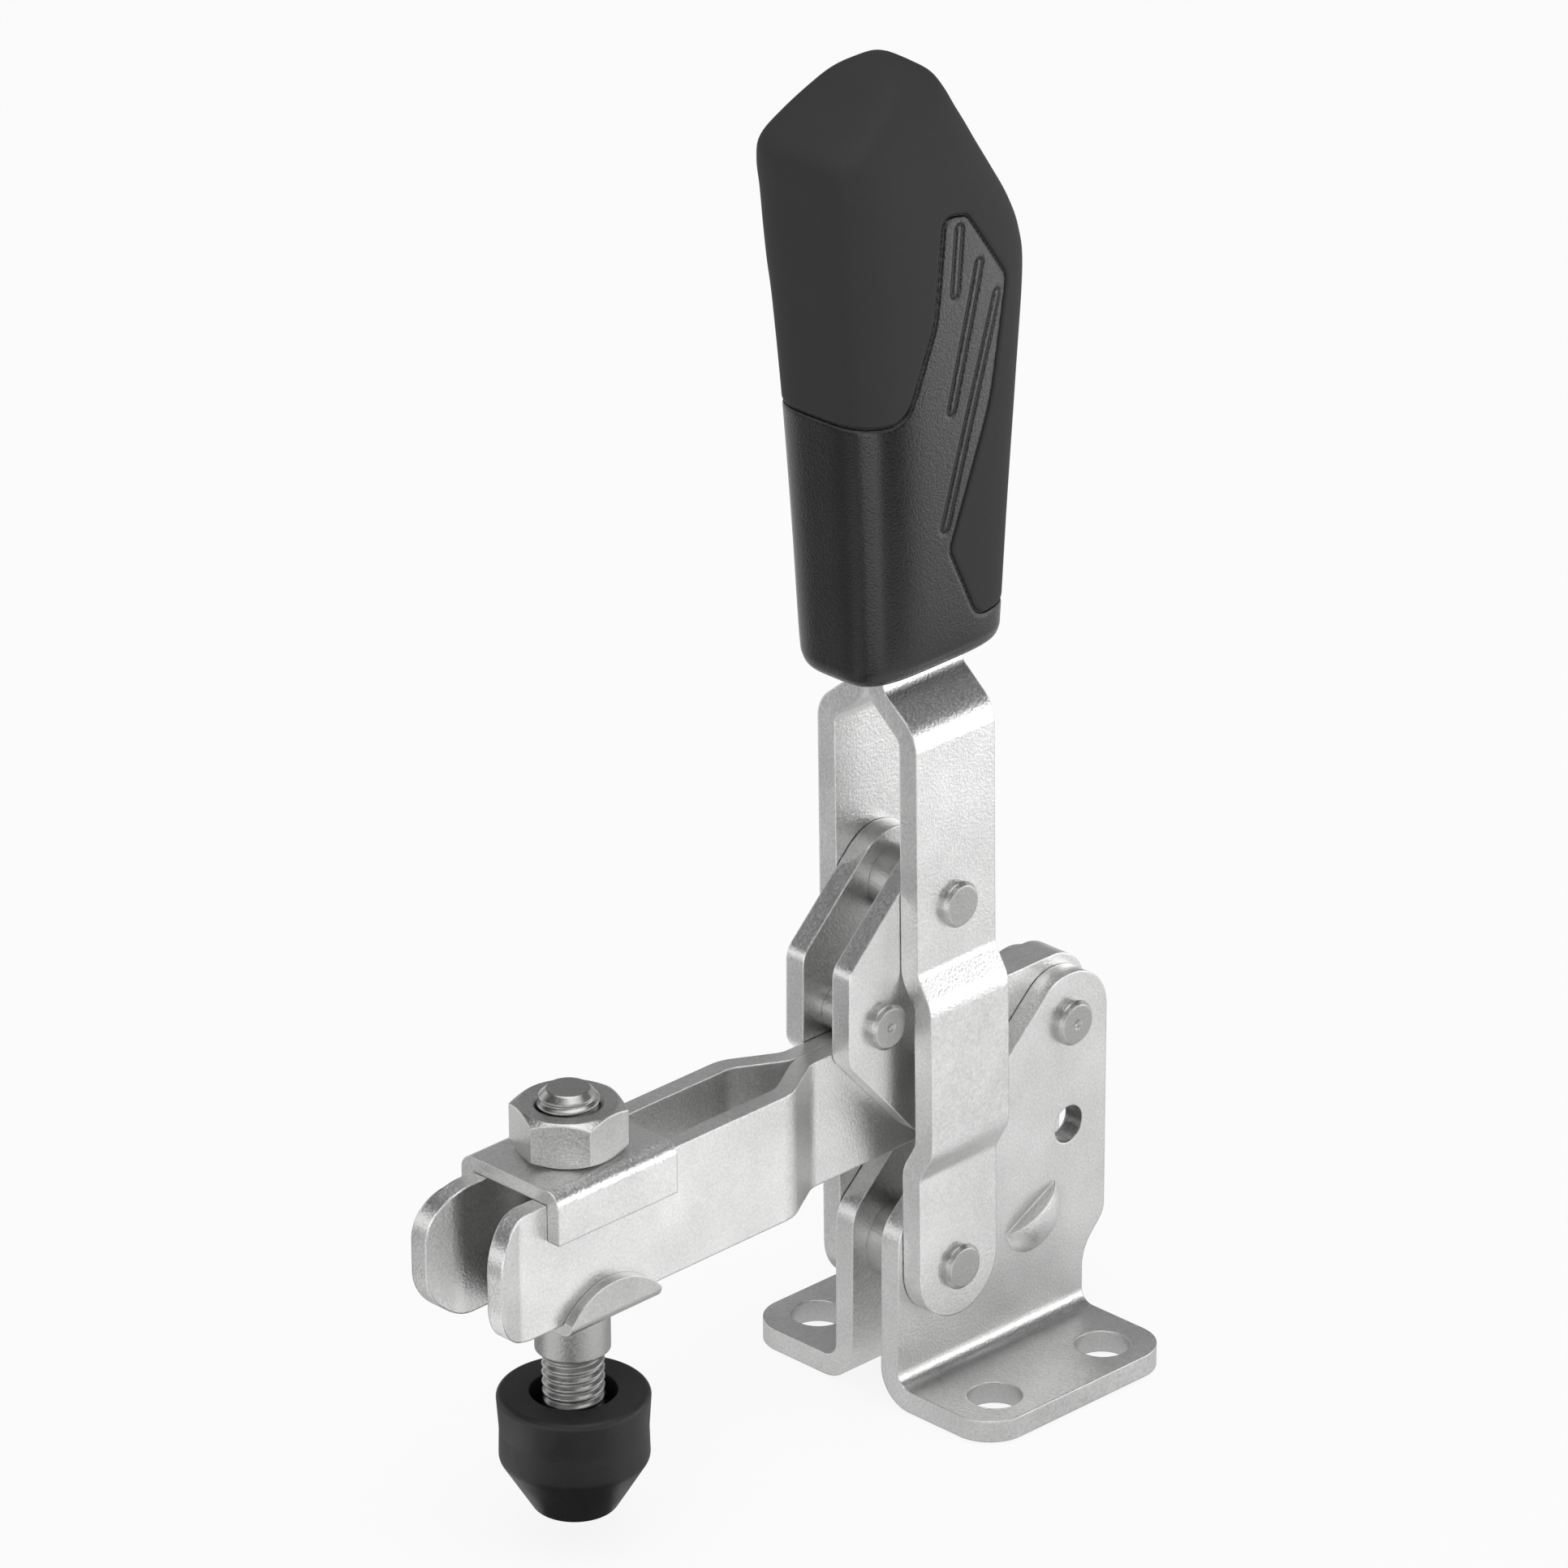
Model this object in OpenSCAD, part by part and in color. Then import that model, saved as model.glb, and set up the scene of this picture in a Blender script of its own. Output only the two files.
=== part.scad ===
// Vertical toggle clamp with an open clamping arm and a flanged base.
// Millimetres, +Z up. The origin is the middle of the four base holes, on the underside of the base.
// The arm points along -X, and every sheet part comes as a near (-Y) and a far (+Y) one.

/* [Sheet metal] */
// Thickness of the base, handle and link plates
sheet_t = 3; // [2.5:0.1:3.6]
// Thickness of the arm plates
arm_t = 2.5; // [2:0.1:3.2]
// Side gap between plates that move past each other
side_gap = 0.1; // [0.05:0.01:0.2]
// Inside radius of the tight bends
bend_r = 2; // [1.5:0.1:3]

/* [Base] */
// Hole spacing along the arm
hole_dx = 20; // [16:0.5:24]
// Hole spacing across the arm
hole_dy = 32; // [28:0.5:40]
// Diameter of the four base holes
hole_d = 7.2; // [5:0.1:8]
// Flange edge beyond the hole centres
hole_edge = 7.2; // [6:0.1:9]
// Overhang of the flange beyond the outer holes
flange_edge = 6.2; // [5:0.1:9]
// Rear edge of the uprights
base_rear_x = 21; // [18:0.5:26]
// Corner radius of the flange
flange_r = 5.5; // [2:0.5:7]
// Width of metal round the arm pivot
ear_r = 6.8; // [5:0.1:8]
// Diameter of the spare hole in each upright
spare_hole_d = 5.2; // [3:0.1:6]

/* [Pivots] */
// Arm pivot, along the arm
arm_pivot_x = 14.2; // [10:0.1:18]
// Arm pivot, height
arm_pivot_z = 44.5; // [40:0.1:50]
// Handle pivot, along the arm
handle_pivot_x = -9.3; // [-12:0.1:-6]
// Handle pivot, height
handle_pivot_z = 18.9; // [16:0.1:24]
// Height of the link's top pivot above the handle pivot
top_pivot_rise = 51.6; // [45:0.1:60]
// How far the top pivot stands in front of the handle pivot
top_pivot_lead = 0.9; // [0:0.1:2]
// How far the middle pivot sits behind the line of the outer two
over_centre = 0.4; // [0:0.1:1]
// Shank diameter of the rivets
rivet_d = 5; // [4:0.1:5.6]
// Head diameter of the rivets
rivet_head_d = 6.2; // [5.8:0.1:8]
// Height of a flat rivet head
rivet_head_h = 1.2; // [0.6:0.1:1.6]
// Height of a dimpled rivet head
dimple_head_h = 1.4; // [1:0.1:1.8]
// Radial running clearance of the pivots
run_gap = 0.05; // [0.02:0.01:0.1]
// Radial gap of a pressed or riveted fit
press_gap = 0.02; // [0:0.01:0.05]
// Outside diameter of the pivot bushes
bush_d = 9; // [8:0.1:10]

/* [Arm] */
// Height of the arm plates
arm_h = 17.5; // [14:0.1:22]
// How far the arm's middle line runs below its pivot
arm_drop = 0.3; // [0:0.1:0.6]
// Fall of the closed arm toward its tip, in degrees
arm_fall = 0.6; // [0:0.1:1]
// Length of the arm behind its pivot
arm_tail = 5.8; // [5.6:0.1:6.5]
// Distance of the arm's tip from the arm pivot
arm_reach = 103.2; // [90:0.1:120]
// Play of the clamping screw between the arm plates, each side
slot_play = 0.1; // [0.1:0.05:0.8]
// Distance of the joggle's start from the arm pivot
joggle_start = 43.2; // [41:0.1:50]
// Angle of the joggle that spreads the plates
joggle_angle = 30; // [20:1:45]
// Inside radius of the joggle bends
joggle_r = 3.5; // [2:0.1:5]
// Outward flare of the tip
flare_angle = 18; // [0:1:25]
// Length of the flared tip
flare_len = 5.2; // [3:0.1:8]
// Corner radius of the tip
tip_r = 6.5; // [3:0.1:8]
// Corner radius of the arm's rear end
tail_r = 6; // [3:0.1:6.5]

/* [Link] */
// Metal round the link's pivots
link_r = 6.8; // [5.5:0.1:7.5]
// Metal round the link's lower pivot
link_foot_r = 7.4; // [6:0.1:8]
// Distance from the lower pivot to the link's front edge
link_nose = 16.9; // [13:0.1:18]
// Stop pin diameter
stop_d = 6; // [5:0.1:7]
// Stop pin, distance in front of the lower pivot
stop_lead = 10.6; // [9:0.1:12.5]

/* [Handle] */
// Width of the handle plates
handle_w = 14; // [12:0.1:18]
// Outward joggle that clears the rivet heads
handle_joggle = 2.3; // [2:0.1:4]
// Start of the lower joggle above the handle pivot
handle_low = 14.2; // [11:0.1:16]
// End of the upper joggle above the handle pivot
handle_high = 44.1; // [42:0.1:46]
// Start of the bend to the tang, above the handle pivot
neck_rise = 74.4; // [68:0.1:75]
// Angle of the bend to the tang
neck_angle = 50; // [35:1:60]
// Opening angle of the handle at its stop
handle_open = 60; // [45:1:62]

/* [Grip] */
// Height of the grip's bottom above the handle pivot
grip_rise = 83.8; // [83:0.1:98]
// Length of the grip
grip_len = 80.7; // [70:0.1:110]
// Depth of the grip's tang slot
tang_len = 48; // [30:1:60]
// Thickness of the soft skin
skin_t = 2; // [1:0.1:3]
// Width of the groove between the skin and the body
skin_gap = 0.3; // [0.1:0.05:0.5]

/* [Clamping screw] */
// Distance of the screw from the arm pivot
screw_reach = 83.8; // [75:0.1:92]
// Thread diameter
screw_d = 8; // [6:0.5:8.4]
// Height of the screw's end above the nut
screw_end = 2; // [1:0.1:10]
// Nut across flats
nut_af = 13; // [12:0.5:16]
// Nut height
nut_h = 6.2; // [5:0.1:8]
// Thickness of the saddle and the lower washer
saddle_t = 2; // [1.5:0.1:2.5]
// Length of the saddle along the arm
saddle_len = 20.4; // [16:0.1:26]
// Depth of the saddle's sides below the arm's top edge
saddle_drop = 5; // [3:0.1:8]
// Thickness of the lower washer
washer_t = 1.5; // [1:0.1:2]
// Diameter of the collar
collar_d = 9.6; // [9.2:0.1:12]
// Height of the collar
collar_h = 7.4; // [5:0.1:12]
// Diameter of the rubber cap
cap_d = 19.6; // [18.5:0.1:24]
// Height of the rubber cap
cap_h = 16.3; // [14:0.1:20]
// Top of the rubber cap below the collar
cap_drop = 5.5; // [3:0.1:12]
// Diameter of the cap's mouth
cap_mouth_d = 11.2; // [9:0.1:12]
// Height of the screw's hexagon head
head_h = 5.3; // [4:0.1:6]

/* [Hidden] */
$fn = 64;
eps = 0.01;
nudge = 0.002;
far = 200;
steel = [0.80, 0.81, 0.82];
bright = [0.70, 0.71, 0.72];
dark = [0.62, 0.63, 0.64];
hard_black = [0.11, 0.11, 0.11];
soft_black = [0.17, 0.17, 0.17];

// Pivots as [x, z]
arm_pivot = [arm_pivot_x, arm_pivot_z];
handle_pivot = [handle_pivot_x, handle_pivot_z];
top_pivot = handle_pivot + [-top_pivot_lead, top_pivot_rise];
handle_lean = atan(top_pivot_lead / top_pivot_rise);
mid_z = arm_pivot_z - 0.1;
mid_share = (mid_z - handle_pivot[1]) / top_pivot_rise;
mid_pivot = [handle_pivot[0] - mid_share * top_pivot_lead + over_centre, mid_z];

// The arm and what it holds are drawn level, then turned by arm_fall about the arm pivot.
// The handle and its grip are drawn upright, then turned by handle_lean about the handle pivot.
arm_low = arm_pivot_z - arm_drop - arm_h / 2;
arm_top = arm_low + arm_h;
function turned(p, about, angle) =
    about + [(p - about) * [cos(angle), -sin(angle)], (p - about) * [sin(angle), cos(angle)]];
module turn(about, angle) {
    translate([about[0], 0, about[1]]) rotate([0, -angle, 0]) translate([-about[0], 0, -about[1]]) children();
}
stop_pivot = turned([mid_pivot[0] - stop_lead, arm_top + stop_d / 2 + side_gap], arm_pivot, arm_fall);

// Distances of the plates' inner faces from the centre plane
plate_y = arm_t + side_gap;
handle_y = plate_y + sheet_t + side_gap;
outer_y = handle_y + sheet_t;

// Straight length and run of a joggle that shifts a strip sideways by shift
function joggle_leg(shift, angle, r, t) = (shift - (2 * r + t) * (1 - cos(angle))) / sin(angle);
function joggle_run(shift, angle, r, t) =
    (2 * r + t) * sin(angle) + joggle_leg(shift, angle, r, t) * cos(angle);

// A flat outline with true arcs. Each corner is [x, y, radius], taken anticlockwise.
function unit(v) = v / norm(v);
function xy(p) = [p[0], p[1]];
function corner_side(pts, i) =
    let (n = len(pts), a = xy(pts[(i + n - 1) % n]) - xy(pts[i]), b = xy(pts[(i + 1) % n]) - xy(pts[i]))
    b[0] * a[1] - b[1] * a[0];
module outline(pts) {
    n = len(pts);
    rounded = [for (i = [0 : n - 1]) if (len(pts[i]) > 2 && pts[i][2] > 0) i];
    difference() {
        union() {
            polygon([for (p = pts) xy(p)]);
            for (i = rounded) if (corner_side(pts, i) < 0) corner_piece(pts, i);
        }
        for (i = rounded) if (corner_side(pts, i) > 0) corner_piece(pts, i);
    }
}
module corner_piece(pts, i) {
    n = len(pts);
    p = xy(pts[i]);
    a = unit(xy(pts[(i + n - 1) % n]) - p);
    b = unit(xy(pts[(i + 1) % n]) - p);
    r = pts[i][2];
    half = acos(a * b) / 2;
    reach = r / tan(half);
    mid = p + unit(a + b) * r / sin(half);
    difference() {
        polygon([p - unit(a + b) * eps, p + a * reach, mid, p + b * reach]);
        translate(mid) circle(r + nudge);
    }
}

// A bent strip, as the outline of its section. Each leg is [length, bend after it, inside radius],
// and a bend of more than 0 turns left. The strip starts at the origin along +x, with its right face on y = 0.
function right_radius(leg, t) = leg[1] == 0 ? 0 : leg[2] + (leg[1] > 0 ? t : 0);
function left_radius(leg, t) = leg[1] == 0 ? 0 : leg[2] + (leg[1] < 0 ? t : 0);
function bend_reach(leg, t) = right_radius(leg, t) * tan(abs(leg[1]) / 2);
function strip_bends(legs, t, i = 0, at = [0, 0], heading = 0) =
    i == len(legs) ? [] :
    let (before = i == 0 ? 0 : bend_reach(legs[i - 1], t),
         next = at + (before + legs[i][0] + bend_reach(legs[i], t)) * [cos(heading), sin(heading)])
    concat([[next, heading + legs[i][1] / 2, legs[i]]], strip_bends(legs, t, i + 1, next, heading + legs[i][1]));
function left_of(bend, t) =
    bend[0] + t / cos(bend[2][1] / 2) * [-sin(bend[1]), cos(bend[1])];
module bent_strip(legs, t) {
    bends = strip_bends(legs, t);
    last = len(bends) - 1;
    right = [for (k = bends) [k[0][0], k[0][1], right_radius(k[2], t)]];
    left = [for (i = [last : -1 : 0]) [each left_of(bends[i], t), left_radius(bends[i][2], t)]];
    outline(concat([[0, 0]], right, left, [[0, t]]));
}

// Puts a flat x-z drawing upright, from y_in to y_in + t on the near side
module upright(y_in, t) {
    translate([0, -y_in, 0]) rotate([90, 0, 0]) linear_extrude(t) children();
}
// A pin along Y at [x, z], from y1 to y2
module pin(at, d, y1, y2) {
    translate([at[0], y2, at[1]]) rotate([90, 0, 0]) cylinder(d = d, h = y2 - y1);
}
// A rivet head on the near side whose underside is at -y
module flat_head(at, y, h) {
    c = 0.5;
    translate([at[0], -y, at[1]]) rotate([90, 0, 0]) {
        cylinder(d = rivet_head_d, h = h - c);
        translate([0, 0, h - c]) cylinder(d1 = rivet_head_d, d2 = rivet_head_d - 2 * c, h = c);
    }
}
module dimple_head(at, y) {
    ball_d = 1.6;
    difference() {
        flat_head(at, y, dimple_head_h);
        translate([at[0], -y - dimple_head_h - 0.45, at[1]]) sphere(d = ball_d);
    }
}
module both_sides() {
    children();
    mirror([0, 1, 0]) children();
}
module hex(af, h) {
    cylinder(d = af / cos(30), h = h, $fn = 6);
}

// Base: two L-shaped plates, riveted through the arm pivot and the spacer
flange_x1 = hole_dx / 2 + hole_edge;
flange_y = hole_dy / 2 + flange_edge;
front_slope = 42.7;
notch_x = base_rear_x - 4;
notch_low = 10.4;
notch_high = 14.8;
spare_hole = arm_pivot - [0.1, 14.8];
module base_side() {
    // The slope is tangent to the ear
    touch = arm_pivot + ear_r * [-sin(front_slope), cos(front_slope)];
    foot_z = touch[1] - (touch[0] + flange_x1) * tan(front_slope);
    translate(arm_pivot) circle(ear_r);
    outline([[-flange_x1, 0, 0], [notch_x, 0, 0], [notch_x, notch_low, 6], [base_rear_x, notch_high, 3],
             [base_rear_x, arm_pivot[1], 0], arm_pivot, touch, [-flange_x1, foot_z, 5]]);
}
module base_top() {
    outline([[-flange_x1, -flange_y, flange_r], [notch_x, -flange_y, flange_r],
             [notch_x, -plate_y - sheet_t - bend_r, 0], [base_rear_x + 1, -plate_y - sheet_t - bend_r, 0],
             [base_rear_x + 1, 0, 0], [-flange_x1, 0, 0]]);
}
// The stop lug is a dome pushed out of the plate. It is sheared just below the line that the handle's
// rear edge reaches when open.
lug_r = 7.5;
lug_h = 2.2;
lug_skin = 2.4;
lug_set = 1;
lug_reach = 14.6;
lug_tilt = 3.8;
lug_gap = 0.42;
module lug_place() {
    translate([handle_pivot[0], -plate_y - sheet_t, handle_pivot[1]])
        rotate([0, handle_open - 90 - handle_lean, 0])
            translate([lug_reach, 0, -handle_w / 2 - lug_gap]) rotate([0, lug_tilt, 0]) children();
}
// A ball whose far side stands out of the plate, cut off above the sheared line
module lug_ball(r) {
    intersection() {
        translate([0, lug_r - lug_h, -lug_set]) sphere(r);
        translate([-lug_r, -lug_r, -2 * lug_r]) cube([2 * lug_r, 3 * lug_r, 2 * lug_r]);
    }
}
module base_plate() {
    upright_h = arm_pivot[1] + ear_r - sheet_t - bend_r;
    flange_leg = flange_y - plate_y - sheet_t - bend_r;
    difference() {
        union() {
            intersection() {
                translate([-far / 2, 0, 0]) rotate([90, 0, 90]) linear_extrude(far)
                    translate([-flange_y, 0]) bent_strip([[flange_leg, 90, bend_r], [upright_h, 0, 0]], sheet_t);
                upright(0, far) base_side();
                linear_extrude(far) base_top();
            }
            lug_place() intersection() {
                lug_ball(lug_r);
                translate([-lug_r, -lug_r, -2 * lug_r]) cube([2 * lug_r, lug_r + sheet_t / 2, 2 * lug_r]);
            }
        }
        lug_place() lug_ball(lug_r - lug_skin);
        for (sx = [-1, 1]) translate([sx * hole_dx / 2, -hole_dy / 2, -1]) cylinder(d = hole_d, h = sheet_t + 2);
        pin(arm_pivot, rivet_d + 2 * press_gap, -far / 2, 0);
        pin(handle_pivot, spacer_neck_d + 2 * press_gap, -far / 2, 0);
        pin(spare_hole, spare_hole_d, -far / 2, 0);
    }
}
module base_plate_near() {
    color(steel) base_plate();
}
module base_plate_far() {
    color(steel) mirror([0, 1, 0]) base_plate();
}

// Spacer between the base plates, riveted in by its necks; the handle's rivet turns in its bore
spacer_d = 11;
spacer_neck_d = 7.6;
module base_spacer() {
    color(dark) difference() {
        union() {
            pin(handle_pivot, spacer_d, -plate_y, plate_y);
            pin(handle_pivot, spacer_neck_d, -plate_y - sheet_t, plate_y + sheet_t);
        }
        pin(handle_pivot, rivet_d + 2 * run_gap, -far / 2, far / 2);
    }
}
module arm_rivet() {
    color(bright) {
        pin(arm_pivot, rivet_d, -plate_y - sheet_t, plate_y + sheet_t);
        both_sides() dimple_head(arm_pivot, plate_y + sheet_t);
    }
}

// Handle: two joggled plates that meet in the grip
neck_shift = handle_y;
module handle_side() {
    x1 = handle_pivot[0] - handle_w / 2;
    x2 = handle_pivot[0] + handle_w / 2;
    top_z = handle_pivot[1] + grip_rise + tang_len;
    translate(handle_pivot) circle(handle_w / 2);
    outline([[x1, handle_pivot[1]], [x2, handle_pivot[1]], [x2, top_z, 3], [x1, top_z, 3]]);
}
module handle_plate() {
    start = handle_w / 2 + 1;
    low = handle_low + start;
    angle = 30;
    run = joggle_run(handle_joggle, angle, bend_r, sheet_t);
    jog = joggle_leg(handle_joggle, angle, bend_r, sheet_t);
    middle = handle_high - handle_low - 2 * run;
    straight = neck_rise - handle_high;
    neck = joggle_leg(neck_shift, neck_angle, bend_r, sheet_t);
    legs = [[low, angle, bend_r], [jog, -angle, bend_r], [middle, -angle, bend_r], [jog, angle, bend_r],
            [straight, -neck_angle, bend_r], [neck, neck_angle, bend_r], [tang_len + 20, 0, 0]];
    difference() {
        turn(handle_pivot, handle_lean) intersection() {
            translate([-far / 2, 0, 0]) rotate([90, 0, 90]) linear_extrude(far)
                translate([-handle_y, handle_pivot[1] - start]) rotate(90) bent_strip(legs, sheet_t);
            upright(-1, far) handle_side();
        }
        pin(handle_pivot, rivet_d + 2 * press_gap, -far / 2, 0);
        pin(top_pivot, rivet_d + 2 * press_gap, -far / 2, 0);
    }
}
module handle_plate_near() {
    color(steel) handle_plate();
}
module handle_plate_far() {
    color(steel) mirror([0, 1, 0]) handle_plate();
}
module handle_rivet() {
    color(bright) {
        pin(handle_pivot, rivet_d, -outer_y, outer_y);
        both_sides() flat_head(handle_pivot, outer_y, rivet_head_h);
    }
}
// The top rivet is parted between the handle and the link, so that the open pivot can pass
module top_rivet_ends() {
    color(bright) both_sides() {
        pin(top_pivot, rivet_d, -outer_y, -handle_y);
        flat_head(top_pivot, outer_y, rivet_head_h);
    }
}

// Grip: a loft of rounded sections, as [height, front x, rear x, half width] above the grip's bottom
grip_z = handle_pivot[1] + grip_rise;
grip_mid = handle_pivot[0];
grip_rows = [[0, -11.4, 10.2, 5.4], [0.6, -12.8, 11.4, 6.9], [1.9, -13.5, 11.9, 7.8], [4.8, -13.7, 11.9, 8.3],
             [19.2, -14.4, 12.8, 8.8], [36.5, -15.5, 14.1, 9.4], [50, -16.6, 14.9, 10.0],
             [55.7, -17.3, 14.1, 10.2], [60.5, -17.7, 12.0, 10.3], [65.3, -18.1, 9.0, 10.2],
             [69.2, -18.6, 6.5, 10.0], [72.1, -18.3, 4.9, 9.4], [74.5, -14.9, 3.5, 8.6], [76.9, -10.8, 2.3, 7.4],
             [78.8, -8.0, 1.2, 5.8], [80.1, -5.4, -0.5, 3.6], [80.7, -3.6, -1.4, 1.4]];
grip_rows_h = 80.7;
// Exponent of the sections: 1 is an ellipse, 0 a rectangle
grip_square = 0.5;
function grip_ring(row, inset, n) =
    let (z = grip_z + row[0] * grip_len / grip_rows_h, x = grip_mid + (row[2] + row[1]) / 2,
         a = max((row[2] - row[1]) / 2 - inset, 0.2), b = max(row[3] - inset, 0.2))
    [for (i = [0 : n - 1]) let (w = 360 * i / n, c = cos(w), s = sin(w))
        [x + a * sign(c) * pow(abs(c), grip_square), b * sign(s) * pow(abs(s), grip_square), z]];
module grip_form(inset) {
    n = 32;
    rows = len(grip_rows);
    points = [for (row = grip_rows) each grip_ring(row, inset, n)];
    sides = [for (k = [0 : rows - 2]) for (i = [0 : n - 1])
        [k * n + i, (k + 1) * n + i, (k + 1) * n + (i + 1) % n, k * n + (i + 1) % n]];
    floor_ring = [for (i = [0 : n - 1]) i];
    roof_ring = [for (i = [n - 1 : -1 : 0]) (rows - 1) * n + i];
    polyhedron(points, concat([floor_ring], sides, [roof_ring]));
}
// The part of the side view where the hard body shows: the lower grip and its tongue
module hard_area() {
    z = grip_z;
    x = grip_mid;
    outline([[x - 30, z - 1], [x + 30, z - 1], [x + 30, z + 6], [x + 4.4, z + 6, 3], [x - 0.7, z + 16.6, 2],
        [x + 6.2, z + 35.2, 30], [x + 8.5, z + 51.2, 2.5], [x - 2.7, z + 65.9, 2], [x - 4.4, z + 48.3, 12],
        [x - 8.8, z + 36.5, 4], [x - 30, z + 37.2]]);
}
module soft_area() {
    difference() {
        translate([grip_mid - 40, grip_z - 5]) square([80, grip_len + 10]);
        hard_area();
    }
}
module grip_body() {
    color(hard_black) turn(handle_pivot, handle_lean) difference() {
        grip_form(0);
        difference() {
            upright(-far / 2, far) soft_area();
            intersection() {
                grip_form(skin_t);
                translate([-far / 2, -far / 2, grip_z]) cube([far, far, grip_len - 2.5 * skin_t]);
            }
        }
        tang_slot();
    }
}
// Slot for the tang, with a wider mouth where the plates come together
module tang_slot() {
    gap = 0.1;
    mouth = 2.4;
    mouth_h = 3;
    front = grip_mid - handle_w / 2 - gap;
    width = handle_w + 2 * gap;
    translate([front, -sheet_t - gap, grip_z - 1]) cube([width, 2 * sheet_t + 2 * gap, tang_len + gap + 1]);
    translate([front, -sheet_t - mouth, grip_z - 1]) cube([width, 2 * sheet_t + 2 * mouth, mouth_h + 1]);
}
module grip_skin() {
    color(soft_black) turn(handle_pivot, handle_lean) difference() {
        grip_form(0);
        upright(-far / 2, far) offset(skin_gap) hard_area();
        intersection() {
            grip_form(skin_t);
            translate([-far / 2, -far / 2, grip_z]) cube([far, far, grip_len - 2.5 * skin_t]);
        }
    }
}

// Arm: two joggled plates, held together by the bushes
strip_rear = arm_tail + 2;
slot_half = screw_d / 2 + slot_play;
arm_outer = slot_half + arm_t;
screw_x = arm_pivot[0] - screw_reach;
module arm_side() {
    x1 = arm_pivot[0] - arm_reach;
    x2 = arm_pivot[0] + arm_tail;
    outline([[x1, arm_low, tip_r], [x2, arm_low, tail_r], [x2, arm_top, tail_r], [x1, arm_top, tip_r]]);
}
module arm_plate() {
    jog = joggle_leg(slot_half, joggle_angle, joggle_r, arm_t);
    run = joggle_run(slot_half, joggle_angle, joggle_r, arm_t);
    spread = arm_reach - joggle_start - run - flare_len;
    legs = [[joggle_start + strip_rear, joggle_angle, joggle_r], [jog, -joggle_angle, joggle_r],
            [spread, flare_angle, joggle_r], [flare_len + 3, 0, 0]];
    difference() {
        turn(arm_pivot, arm_fall) intersection() {
            translate([arm_pivot[0] + strip_rear, 0, 0]) rotate(180) linear_extrude(far) bent_strip(legs, arm_t);
            upright(-1, far) arm_side();
        }
        for (at = [arm_pivot, mid_pivot]) pin(at, bush_d + 2 * press_gap, -far / 2, 1);
    }
}
module arm_plate_near() {
    color(steel) arm_plate();
}
module arm_plate_far() {
    color(steel) mirror([0, 1, 0]) arm_plate();
}
module bush(at, half) {
    difference() {
        pin(at, bush_d, -half, half);
        pin(at, rivet_d + 2 * run_gap, -far / 2, far / 2);
    }
}
module rear_bush() {
    color(dark) bush(arm_pivot, arm_t);
}
module front_bush() {
    color(dark) bush(mid_pivot, arm_t);
}

// Link: two house-shaped plates with the stop pin between them
module link_side() {
    nose_x = mid_pivot[0] - link_nose;
    up = 44;
    down = 47.5;
    top_touch = top_pivot + link_r * [-sin(up), cos(up)];
    low_touch = mid_pivot + link_foot_r * [-sin(down), -cos(down)];
    nose_top = top_touch[1] - (top_touch[0] - nose_x) * tan(up);
    nose_low = low_touch[1] + (low_touch[0] - nose_x) * tan(down);
    translate(top_pivot) circle(link_r);
    translate(mid_pivot) circle(link_foot_r);
    outline([[nose_x, nose_low, 3], low_touch, mid_pivot, mid_pivot + [link_foot_r, 0],
             top_pivot + [link_r, 0], top_pivot, top_touch, [nose_x, nose_top, 3]]);
}
module link_plate() {
    difference() {
        upright(plate_y, sheet_t) link_side();
        for (at = [top_pivot, mid_pivot, stop_pivot]) pin(at, rivet_d + 2 * press_gap, -far / 2, 0);
    }
}
module link_plate_near() {
    color(steel) link_plate();
}
module link_plate_far() {
    color(steel) mirror([0, 1, 0]) link_plate();
}
module link_rivet() {
    color(bright) {
        pin(mid_pivot, rivet_d, -plate_y - sheet_t, plate_y + sheet_t);
        both_sides() dimple_head(mid_pivot, plate_y + sheet_t);
    }
}
module link_pin() {
    color(bright) pin(top_pivot, rivet_d, -plate_y - sheet_t, plate_y + sheet_t);
}
module link_sleeve() {
    color(dark) difference() {
        pin(top_pivot, bush_d, -plate_y, plate_y);
        pin(top_pivot, rivet_d + 2 * press_gap, -far / 2, far / 2);
    }
}
module stop_pin() {
    color(bright) {
        pin(stop_pivot, stop_d, -plate_y, plate_y);
        pin(stop_pivot, rivet_d, -plate_y - sheet_t, plate_y + sheet_t);
        both_sides() dimple_head(stop_pivot, plate_y + sheet_t);
    }
}

// Clamping screw and what holds it in the arm's slot
seat_gap = 0.05;
saddle_z = arm_top + seat_gap;
nut_z = saddle_z + saddle_t + seat_gap;
washer_z = arm_low - seat_gap - washer_t;
collar_z = washer_z - collar_h;
cap_top = collar_z - cap_drop;
module saddle() {
    inner_r = 2 * seat_gap;
    half = arm_outer + seat_gap - inner_r;
    side_leg = saddle_drop - inner_r;
    color(steel) turn(arm_pivot, arm_fall) difference() {
        translate([screw_x - saddle_len / 2, 0, 0]) rotate([90, 0, 90]) linear_extrude(saddle_len)
            for (m = [0, 1]) mirror([m, 0]) translate([-eps, saddle_z + saddle_t]) mirror([0, 1])
                bent_strip([[half + eps, 90, inner_r], [side_leg, 0, 0]], saddle_t);
        translate([screw_x, 0, 0]) cylinder(d = screw_d + 0.4, h = far);
    }
}
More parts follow.
